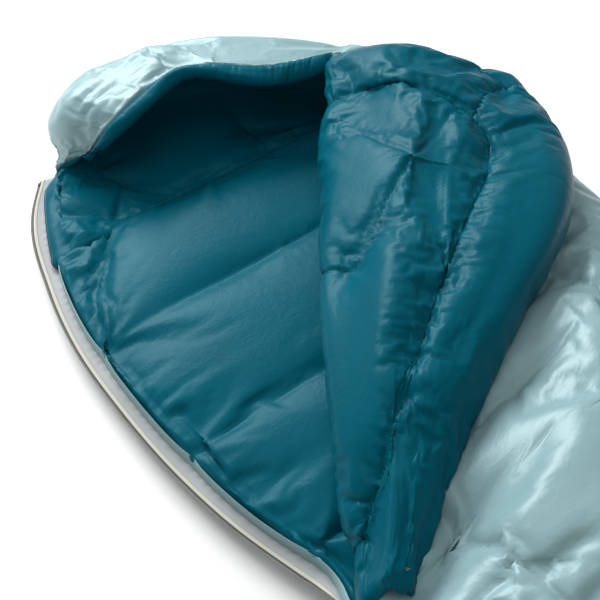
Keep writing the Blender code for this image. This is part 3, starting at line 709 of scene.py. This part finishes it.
def flap_surface(a, v):
    """a from -1, under the fold, over the roll to 0, across the flap to 1 and round its edge."""
    if a >= 0:
        return turned(flap_point, a, v, EDGE_TURN, (0, 1, END_TURN), .011)
    cv = min(max(v, 0), 1)
    over = min(1, abs(v - cv) / END_TURN)
    axis = from_fold(flap_s(0, cv), 0, fold_height(flap_s(0, cv)))
    shrink = .12 + .88 * (1 + math.cos(math.pi * over)) / 2
    out = ALONG * (1 if v > 1 else -1) * .016 * math.sin(math.pi * over)
    return axis + (roll_point(1 + a, cv) - axis) * shrink + out


flap_us = lines(-1, 0, 30) + lines(0, 1, 74)[1:] + lines(1, 1 + EDGE_TURN, 8)[1:]
flap_vs = spread(205, END_TURN, 8, 6)
coarse_a = lines(-1, 0, 12) + lines(0, 1, 24)[1:] + lines(1, 1 + EDGE_TURN, 6)[1:]
coarse_v = spread(30, END_TURN, 6, 6)
points = lay(flap_surface, coarse_a, coarse_v, flap_us, flap_vs)
ROLL_EASE, ROLL_PASSES = .16, 90      # the roll runs into the flap without a crease
near_fold = .5 * np.exp(-((np.array(flap_us) + .02) / ROLL_EASE) ** 2)[1:-1, None, None]
for _ in range(ROLL_PASSES):
    points[1:-1] += near_fold * (points[:-2] - 2 * points[1:-1] + points[2:]) / 2
SUNK, SUNK_WIDE = .010, .022          # how deep the drawn-up seam lies, and how wide its valley is
drawn, _ = to_seams(points, flap_us, flap_vs, [GATHERED])
points = points + normals_of(points) * (SUNK * np.exp(-(drawn / SUNK_WIDE) ** 2))[..., None]
flap_sheet = sew("flap_sheet", points, flap_us, flap_vs, [GATHERED, MITRE] + FIELD_SEAMS, lining_cloth, -1,
                 puff=.006, gather=.03, growth=(.12, .03), cap=.013)

# %% Which part of the sheet is which
def inside(corners, a, v):
    """True where (a, v) lies in the polygon."""
    found = False
    for (a0, v0), (a1, v1) in zip(corners, corners[1:] + corners[:1]):
        if (v0 > v) != (v1 > v) and a < a0 + (v - v0) * (a1 - a0) / (v1 - v0):
            found = not found
    return found


FIELD = [(-1.1, .10)] + GATHERED + [(-1.1, .94)]
CORNER = [c for c in GATHERED if c[0] < MITRE[0][0] and c[1] < .5]
COLLAR = [(-1.1, .10)] + CORNER + MITRE + [(1.2, -.1), (-1.1, -.1)]


def part_of(a, v):
    return "flap_lining" if inside(FIELD, a, v) else "collar" if inside(COLLAR, a, v) else "tube"


def take(name, wanted):
    """A copy of the flap's sheet with only its faces of one part, and with its share of the flap's motion."""
    mesh = flap_sheet.data.copy()
    bm = bmesh.new()
    bm.from_mesh(mesh)
    bm.verts.ensure_lookup_table()
    n = len(flap_us)
    at = [(flap_us[k % n], flap_vs[k // n]) for k in range(len(bm.verts))]
    share = bm.verts.layers.float.new("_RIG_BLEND")
    for vert, (a, v) in zip(bm.verts, at):
        vert[share] = smooth(a + 1)
    bm.faces.ensure_lookup_table()
    middle = [np.mean([at[v.index] for v in f.verts], axis=0) for f in bm.faces]
    others = [f for f, (a, v) in zip(bm.faces, middle) if part_of(a, v) != wanted]
    bmesh.ops.delete(bm, geom=others, context="FACES")
    bm.to_mesh(mesh)
    bm.free()
    obj = put(name, mesh)
    share = [d.value for d in mesh.attributes["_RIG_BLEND"].data]
    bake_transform(obj, "bag", "flap", hinge - Vector((0, 0, .04)), hinge + Vector((0, 0, .04)))
    mesh.attributes["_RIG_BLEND"].data.foreach_set("value", share)
    print(name, len(mesh.polygons), "faces")
    return obj


flap_lining = take("flap_lining_cloth", "flap_lining")
draft_tube = take("draft_tube_cloth", "tube")
draft_collar = take("draft_collar_cloth", "collar")
bpy.data.objects.remove(flap_sheet)

# %% The shell under it
us, vs = lines(0, 1, 60), lines(0, 1, 170)
points = lay(lambda t, v: flap_point(t, v, 0), lines(0, 1, 20), lines(0, 1, 30), us, vs)
flap_shell_seams = [[(0, v), (1, v)] for v in (.216, .525, .78)]
flap_shell = sew("flap_shell_cloth", points, us, vs, flap_shell_seams, shell_cloth, 1, puff=.005, gather=.03,
                 simulate=False)

# %% [markdown]
# ## The hood
# The hood stands up round the head end. Its shell gathers at the rim, where the lining rolls over it, and a seam
# inside parts the rim's own tube from the rest of the lining.

# %% Its two cloths
HOOD_TURN, RIM_TURN = .02, .06
hood_us = spread(190, HOOD_TURN)
hood_vs = lines(-.02, 0, 3) + lines(0, 1, 80)[1:] + lines(1, 1 + RIM_TURN, 7)[1:]
coarse_us = spread(44, HOOD_TURN)
coarse_vs = lines(-.02, 0, 2) + lines(0, 1, 26)[1:] + lines(1, 1 + RIM_TURN, 7)[1:]
RIM_SEAM = [(-HOOD_TURN, .84), (.12, .82), (.5, .80), (1 + HOOD_TURN, .82)]
SHELL_RIM = [(-HOOD_TURN, .955), (1 + HOOD_TURN, .955)]


def hood_cloth(name, bulge, first, seams, material, outward, **blown):
    points = lay(lambda u, v: turned(hood_point, u, v, HOOD_TURN, (0, 1, RIM_TURN), bulge, first),
                 coarse_us, coarse_vs, hood_us, hood_vs)
    edge = np.zeros(points.shape[:2], bool)
    edge[:5], edge[-5:], edge[:, :4] = True, True, True
    if first == 0:
        edge[:, -8:] = True
    return sew(name, points, hood_us, hood_vs, seams, material, outward, held=edge, **blown)


hood_lining = hood_cloth("hood_lining_cloth", .018, 1, [
    RIM_SEAM, [(.05, 0), (.102, .04), (.203, .203), (.186, .30), (.17, .82)],
    [(.64, 0), (.61, .22), (.60, .81)]], lining_cloth, 1, puff=.007, gather=.025, growth=(.13, .05),
    cap=.012)
hood_shell = hood_cloth("hood_shell_cloth", .004, 0, [
    SHELL_RIM, [(.407, 1), (.424, .864), (.45, .5), (.45, 0)], [(.13, 0), (.15, .5), (.19, 1)]],
    shell_cloth, -1, puff=.007, gather=.03, cap=.012)
above_ground(hood_shell)

# %% [markdown]
# ## The foot
# A cap closes the far end. It is a domed panel sewn to the ends of the top and bottom quilts, so its cloth turns
# back at its rim to meet theirs. It never opens and needs no cloth simulation: a dome between its seams is enough.

# %% Foot cap
FOOT_TURN, FOOT_RISE = .03, .08       # how far the cap's rim turns back, across and up
us, vs = spread(80, FOOT_TURN), spread(30, FOOT_RISE)
foot_seams = [[(0, .5), (1, .5)], [(0, 0), (1, 0), (1, 1), (0, 1), (0, 0)]]
points = lay(lambda u, v: turned(foot_point, u, v, FOOT_TURN, (0, 1, FOOT_RISE), .002, 1),
             spread(30, FOOT_TURN), spread(12, FOOT_RISE), us, vs)
foot_shell = sew("foot_shell_cloth", points, us, vs, foot_seams, shell_cloth, 1, puff=.006, gather=.03,
                 simulate=False)
above_ground(foot_shell)
us, vs = lines(0, 1, 80), lines(0, 1, 30)
points = lay(lambda u, v: foot_point(u, v, 0), lines(0, 1, 30), lines(0, 1, 12), us, vs)
foot_lining = sew("foot_lining_cloth", points, us, vs, foot_seams, lining_cloth, -1, puff=.004, gather=.03,
                  simulate=False)

# %% [markdown]
# ## The down
# Every chamber holds its own down, which never shows. A remeshed and smoothed copy of the chamber's plain solid
# fills the space between the two cloths, and what would come too near a cloth is then moved back inside.

# %% A chamber's down
DOWN_CELL = .010                      # size of the remesh's cells
down, tree, bsdf = finish("white_goose_down", {"Base Color": linear("#ece9e1"), "Roughness": .95})
lumps = node(tree, "Bump", {"Strength": .6, "Distance": .004}, Height=noise(tree, 90.0, 3.0))
tree.links.new(lumps.outputs[0], bsdf.inputs["Normal"])


def stuff(chamber):
    """Down in the space of one chamber, its corners rounded off."""
    mesh = frame["nodes"][chamber].data.copy()
    mesh.materials.clear()
    mesh.materials.append(down)
    bm = bmesh.new()
    bm.from_mesh(mesh)
    bmesh.ops.remove_doubles(bm, verts=bm.verts, dist=1e-5)
    bm.to_mesh(mesh)
    bm.free()
    obj = put(chamber + "_down", mesh)
    remesh = obj.modifiers.new("remesh", "REMESH")
    remesh.mode, remesh.voxel_size = "VOXEL", DOWN_CELL
    rounding = obj.modifiers.new("rounding", "SMOOTH")
    rounding.factor, rounding.iterations = .5, 4
    made = bpy.data.meshes.new_from_object(obj.evaluated_get(bpy.context.evaluated_depsgraph_get()))
    obj.modifiers.clear()
    obj.data = made
    made.shade_smooth()
    return obj


downs = {name: stuff(name) for name in frame["nodes"] if "_fill" in name}
print(len(downs), "chambers of down,", sum(len(o.data.polygons) for o in downs.values()), "faces")


# %% The down kept inside its cloths
CLEARANCE, FLAP_CLEARANCE, SIDE_CLEARANCE = .008, .014, .014
MOST_MOVE, PASSES = .020, 3


def keep_inside(piece, cloths, clearance, beside_zip):
    """Every point of the down that comes within the clearance of a cloth, or outside it, moved back in."""
    for vert in piece.data.vertices:
        for tree_of_cloth in cloths:
            near, normal, _, _ = tree_of_cloth.find_nearest(vert.co)
            over = (vert.co - near).dot(normal) + clearance
            if over > 0:
                vert.co -= normal * min(over, MOST_MOVE)
        if beside_zip:
            y = vert.co.y - SHIFT.y
            vert.co.x = min(max(vert.co.x, quilt_left(y) + SIDE_CLEARANCE + SHIFT.x),
                            half_width(y) - SIDE_CLEARANCE + SHIFT.x)
    piece.data.update()


def surface_tree(*sheets):
    """All the sheets' faces in one search tree."""
    places, faces = [], []
    for cloth in sheets:
        faces += [[len(places) + k for k in face.vertices] for face in cloth.data.polygons]
        places += [vert.co for vert in cloth.data.vertices]
    return BVHTree.FromPolygons(places, faces)


cloths_round = {
    "top": [surface_tree(top_shell), surface_tree(top_lining)],
    "bottom": [surface_tree(bottom_lining), surface_tree(bottom_shell)],
    "flap": [surface_tree(flap_lining, draft_tube, draft_collar), surface_tree(flap_shell)],
    "hood": [surface_tree(hood_lining), surface_tree(hood_shell)],
    "foot": [surface_tree(foot_shell), surface_tree(foot_lining)]}
cloths_round["draft"] = cloths_round["fold"] = cloths_round["flap"][:1]
for name, piece in downs.items():
    group = name.split("_")[0]
    for _ in range(PASSES):
        keep_inside(piece, cloths_round[group], FLAP_CLEARANCE if group in ("flap", "draft") else CLEARANCE,
                    group in ("top", "bottom"))


def turn_at(place):
    """How far round the fold's roll a place lies, 0 under its axis to 1 over it."""
    rel = Vector(place) - SHIFT - Vector((FOLD_A.x, FOLD_A.y, 0))
    s, p = rel.dot(ALONG), rel.dot(ACROSS)
    angle = math.atan2(fold_height(s) - rel.z, p) % (2 * math.pi)
    return angle / math.pi - .5


# %% [markdown]
# ## The zip
# Two grosgrain tapes carry the coils. Each has a raised cream cord along its outer side; its light inner edge is a
# painted highlight, and a dark line at the cord's foot and its dark outer edge are painted shade of the cord and
# the coil. The open one is drawn in along the quilt, so it puckers a little.

# %% Grosgrain, coil and metal
BAND_THICK, COIL_WIDE, COIL_THICK, COIL_CLEAR = .0016, .0030, .0024, .0018
COIL_Z, COIL_GAP, ZIP_PLANE = .0560, .0008, .0066
Y_ZIP_TOP, Y_ZIP_END = .940, -.600
CORD_FROM, CORD_TO = .0205, .0262      # where the cream cord lies across the tape
RIB_PITCH = .0012                      # spacing of the ribs woven along it

grosgrain, tree, bsdf = finish("pale_grey_grosgrain", {"Base Color": linear("#b4b8b9"), "Roughness": .72,
                                                       "Sheen Weight": .25})
tape_uv = node(tree, "SeparateXYZ", _0=node(tree, "UVMap", {"uv_map": "cloth"}).outputs[0])
# the cloth's own coordinate is 0 at the middle of the ribbon, which is wider than the band by the coil's gap
share = node(tree, "MapRange", {"From Min": -(BAND + COIL_CLEAR) / 2, "From Max": (BAND - COIL_CLEAR) / 2},
             _0=tape_uv.outputs["X"])
tape_colour_and_painted_light = node(tree, "ValToRGB", _0=share.outputs[0])
ramp = tape_colour_and_painted_light.color_ramp
# across the tape: the cream stops are the cord's own colour; the darker stops at the cord's inner foot are painted
# shade beside the raised cord, and the dark outer stops are painted shade of the coil
for position, colour in ((.04, "#b9bdbe"), (CORD_FROM / BAND - .02, "#aeb2b3"), (CORD_FROM / BAND, "#77797a"),
                         (CORD_FROM / BAND + .03, "#c9c6b8"), (CORD_TO / BAND - .02, "#d2cfc2"),
                         (CORD_TO / BAND + .01, "#5b5f61")):
    ramp.elements.new(position).color = linear(colour)
# lighter inner edge: a painted highlight where the tape's folded edge catches the light
ramp.elements[0].color = linear("#d5d9da")
# dark outer edge: painted shade of the coil beside it
ramp.elements[-1].color = linear("#4b4f51")
tree.links.new(tape_colour_and_painted_light.outputs[0], bsdf.inputs["Base Color"])
ribs = node(tree, "Math", {"operation": "SINE"}, _0=node(
    tree, "Math", {"operation": "MULTIPLY", "_1": 2 * math.pi / RIB_PITCH}, _0=tape_uv.outputs["Y"]).outputs[0])
relief = node(tree, "Bump", {"Strength": .35, "Distance": .0003}, Height=ribs.outputs[0])
tree.links.new(relief.outputs[0], bsdf.inputs["Normal"])

coil_nylon, tree, bsdf = finish("cream_coil_nylon", {"Base Color": linear("#a09d91"), "Roughness": .38})
tint = node(tree, "MixRGB", {"Color1": linear("#8d8a80"), "Color2": linear("#aeab9f")},
            Fac=noise(tree, 60.0, 2.0))
tree.links.new(tint.outputs[0], bsdf.inputs["Base Color"])

zip_metal, tree, bsdf = finish("dark_painted_zip_metal", {"Base Color": linear("#4c4e50"), "Metallic": .6,
                                                          "Roughness": .38})
wear = noise(tree, 350.0, 4.0)
rough = node(tree, "MapRange", {"To Min": .28, "To Max": .5}, _0=wear)
tree.links.new(rough.outputs[0], bsdf.inputs["Roughness"])
grain = node(tree, "Bump", {"Strength": .15, "Distance": .0002}, Height=wear)
tree.links.new(grain.outputs[0], bsdf.inputs["Normal"])


# %% Where the tapes lie
def band_point(y, t, lift):
    """Bottom tape: t metres out from the quilt edge, lift metres off its lower or outer face."""
    upright = 1 - smooth((y - FOLD_B.y) / BAND_TURN_Y)
    angle = math.radians(8 + 82 * upright)
    side = .0008 + upright * (ZIP_PLANE - .0008) * smooth(t / .010) + (1 - upright) * .0004
    root_z = COIL_Z - COIL_GAP - COIL_WIDE - COIL_CLEAR - BAND
    slim = upright * (side + BAND_THICK) + (1 - upright) * .0012
    return (Vector((quilt_left(y) - slim, y, root_z)) + Vector((-math.cos(angle), 0, math.sin(angle))) * t
            + Vector((math.sin(angle), 0, math.cos(angle))) * lift)


def top_band_point(y, t, lift):
    point = band_point(y, t, lift)
    return Vector((point.x, point.y, 2 * COIL_Z - point.z))


def flap_band_point(v, t, lift):
    """Tape of the flap: from the zip edge back under the draft tube, t metres in, lift metres down."""
    s = FLAP_START + FLAP_SKEW + (FLAP_END - FLAP_START - FLAP_SKEW) * v
    reach = float(curve(FLAP, s)[0])
    edge = .955 - .004 / reach
    p1, z1 = flap_curve(s, min(edge, 1), True)
    p0, z0 = flap_curve(s, max(edge - (BAND + COIL_WIDE) / reach, .1), True)
    run = Vector((p0 - p1, z0 - z1)).normalized()
    across, height = Vector((p1, z1)) + run * t
    return from_fold(s, across, height - .0055 - lift)


# %% Tapes and wound coils
PITCH, WIRE, PUCKER = .0018, .00042, .0008


def tape(name, shape, stations, outward):
    """Ribbon with its inner edge puckered; the cord along its outer side is raised."""
    ts = lines(0, BAND + COIL_CLEAR, 17)

    def at(t, y):
        drawn = PUCKER * (1 - smooth(t / .018)) * math.sin(2 * math.pi * y / .019 + 2.2 * math.sin(47 * y))
        cord = .0009 * math.sin(math.pi * (t - CORD_FROM) / (CORD_TO - CORD_FROM)) \
            if CORD_FROM < t < CORD_TO else 0
        return shape(y, t, BAND_THICK / 2 + drawn + cord)

    points = np.array([[tuple(at(t, y)) for y in stations] for t in ts]) + np.array(SHIFT)
    obj, _ = cloth_object(name, points, grosgrain, outward)
    thick = obj.modifiers.new("thickness", "SOLIDIFY")
    thick.thickness, thick.offset = .0010, 0
    return obj


def coil(name, shape, start, end):
    """One filament wound into a coil along the tape's outer edge."""
    stations = np.linspace(start, end, 160)
    middle = np.array([tuple(shape(y, BAND + COIL_CLEAR + COIL_WIDE / 2, COIL_THICK / 2 - .0004))
                       for y in stations]) + np.array(SHIFT)
    run = np.insert(np.cumsum(np.linalg.norm(np.diff(middle, axis=0), axis=1)), 0, 0)
    at = np.arange(0, run[-1], PITCH / 8)
    line = np.stack([np.interp(at, run, middle[:, k]) for k in range(3)], axis=1)
    along = np.gradient(line, axis=0)
    along /= np.linalg.norm(along, axis=1, keepdims=True)
    side = np.cross(along, (0, 0, 1.0))
    side /= np.linalg.norm(side, axis=1, keepdims=True)
    turn = (2 * np.pi * at / PITCH)[:, None]
    wound = line + side * np.cos(turn) * (COIL_WIDE / 2 - WIRE) \
        + np.cross(side, along) * np.sin(turn) * (COIL_THICK / 2 - WIRE)
    data = bpy.data.curves.new(name, "CURVE")
    data.dimensions, data.bevel_depth, data.bevel_resolution = "3D", WIRE, 0
    spline_made = data.splines.new("POLY")
    spline_made.points.add(len(wound) - 1)
    spline_made.points.foreach_set("co", np.insert(wound, 3, 1, axis=1).ravel())
    data.materials.append(coil_nylon)
    print(name, len(wound), "points")
    return put(name, data)


Y_CLOSED = FOLD_B.y - .006
tape_bottom = tape("zip_tape_bottom_ribbon", band_point, lines(Y_ZIP_END, Y_ZIP_TOP, 700), -1)
tape_top = tape("zip_tape_top_ribbon", top_band_point, lines(Y_ZIP_END, Y_CLOSED, 250), 1)
tape_flap = tape("flap_zip_tape_ribbon", flap_band_point, lines(.012, .86, 340), 1)
coil_bottom = coil("zip_coil_bottom_wound", band_point, Y_ZIP_END + .010, Y_ZIP_TOP - .010)
coil_top = coil("zip_coil_top_wound", top_band_point, Y_ZIP_END + .010, Y_CLOSED)
coil_flap = coil("flap_zip_coil_wound", flap_band_point, .022, .86)

for name in ("slider_body", "slider_pull", "zip_stop_top", "flap_zip_stop", "zip_stop_bottom"):
    part = frame["nodes"][name]
    part.data.materials.clear()
    part.data.materials.append(coil_nylon if name == "zip_stop_bottom" else zip_metal)
    bevel = part.modifiers.new("worn edges", "BEVEL")
    bevel.width, bevel.segments = .0003, 2

# %% [markdown]
# ## Who moves with whom
# The bag's pieces stay; the flap's ride on the flap; its lining and the down of the fold bend between the two.

# %% Bodies, replaced solids and thickened cloths
def declare(node_name):
    """Hides the plain solid or solids that a sheet stands in for."""
    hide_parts(*([node_name] if isinstance(node_name, str) else node_name))


CLOTH_THICK = .0005
cloths = [(bottom_lining, "bottom_lining", downs["bottom_fill_5"], 0), (bottom_shell, "bottom_shell", (), 1),
          (top_shell, "top_shell", downs["top_fill_5"], 1), (top_lining, "top_lining", (), 0),
          (hood_lining, "hood_lining", downs["hood_fill_crown"], 0),
          (hood_shell, "hood_shell", downs["hood_fill_crown"], 1),
          (foot_shell, "foot_shell", downs["foot_fill"], 1),
          (foot_lining, "foot_lining", downs["foot_fill"], 0), (flap_shell, "flap_shell", top_shell, 1),
          (flap_lining, ("flap_lining", "fold_lining"), downs["flap_fill_2"], 0),
          (draft_tube, "draft_tube_cover", downs["draft_tube_fill"], 0),
          (draft_collar, "draft_collar_cover", downs["draft_collar_fill"], 0)]
for cloth, node_name, rests_on, is_shell in cloths:
    if cloth is flap_shell:
        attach(cloth, "flap")
    elif cloth not in (flap_lining, draft_tube, draft_collar):
        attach(cloth, "bag")
    declare(node_name)
    thick = cloth.modifiers.new("thickness", "SOLIDIFY")
    thick.thickness, thick.offset = CLOTH_THICK, -1

for name, piece in downs.items():
    if name == "fold_fill":
        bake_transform(piece, "bag", "flap", hinge - Vector((0, 0, .04)), hinge + Vector((0, 0, .04)))
        turns = [smooth(turn_at(vert.co)) for vert in piece.data.vertices]
        piece.data.attributes["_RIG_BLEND"].data.foreach_set("value", turns)
    else:
        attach(piece, "flap" if name.startswith(("flap", "draft")) else "bag")
    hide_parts(name)

for piece, node_name, body, slot in (
        (tape_bottom, "zip_tape_bottom", "bag", "grosgrain"), (tape_top, "zip_tape_top", "bag", "grosgrain"),
        (tape_flap, "flap_zip_tape", "flap", "grosgrain"), (coil_bottom, "zip_coil_bottom", "bag", "coil_nylon"),
        (coil_top, "zip_coil_top", "bag", "coil_nylon"), (coil_flap, "flap_zip_coil", "flap", "coil_nylon")):
    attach(piece, body)
    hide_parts(node_name)

# %% [markdown]
# ## Light and camera
# A pale floor and big soft lights: the strongest stands behind the hood, so that gloss runs along the creases
# and the inside of the hood stays dark.

# %% Floor, lights, camera
FLOOR_GAP = .0006


def stage():
    """The pale floor, just under the bag."""
    bm = bmesh.new()
    bmesh.ops.create_grid(bm, x_segments=1, y_segments=1, size=6)
    mesh = bpy.data.meshes.new("floor")
    bm.to_mesh(mesh)
    bm.free()
    floor = put("floor", mesh)
    mat, _, _ = finish("pale_studio_floor", {"Base Color": linear("#fbfbfb"), "Roughness": .9})
    mesh.materials.append(mat)
    floor.location.z = -FLOOR_GAP


def area(name, place, aim, size, power):
    light = bpy.data.lights.new(name, "AREA")
    light.shape, light.size, light.size_y, light.energy = "RECTANGLE", size[0], size[1], power
    obj = put(name, light)
    obj.location = place
    obj.rotation_euler = (Vector(aim) - Vector(place)).to_track_quat("-Z", "Y").to_euler()


stage()
area("key_behind", (.1, 3.2, 2.1), (0, .3, .1), (2.6, 1.6), 150)
area("overhead", (-.4, .4, 3.2), (0, .2, 0), (2.6, 2.6), 24)
world = bpy.data.worlds.new("studio")
world.use_nodes = True
world.node_tree.nodes["Background"].inputs[0].default_value = linear("#ffffff")
world.node_tree.nodes["Background"].inputs[1].default_value = .33
bpy.context.scene.world = world
bpy.context.scene.view_settings.view_transform = "Standard"

AZIMUTH, ELEVATION, DISTANCE = math.radians(-37.5), math.radians(46), 1.663
look_at = Vector((-.112968, .417152, .086))
back = Vector((math.sin(AZIMUTH) * math.cos(ELEVATION), -math.cos(AZIMUTH) * math.cos(ELEVATION),
               math.sin(ELEVATION)))
camera = put("camera", bpy.data.cameras.new("camera"))
camera.data.sensor_width, camera.data.lens = 36, 69.12
camera.location = look_at + back * DISTANCE
camera.rotation_euler = (-back).to_track_quat("-Z", "Y").to_euler()
bpy.context.scene.camera = camera
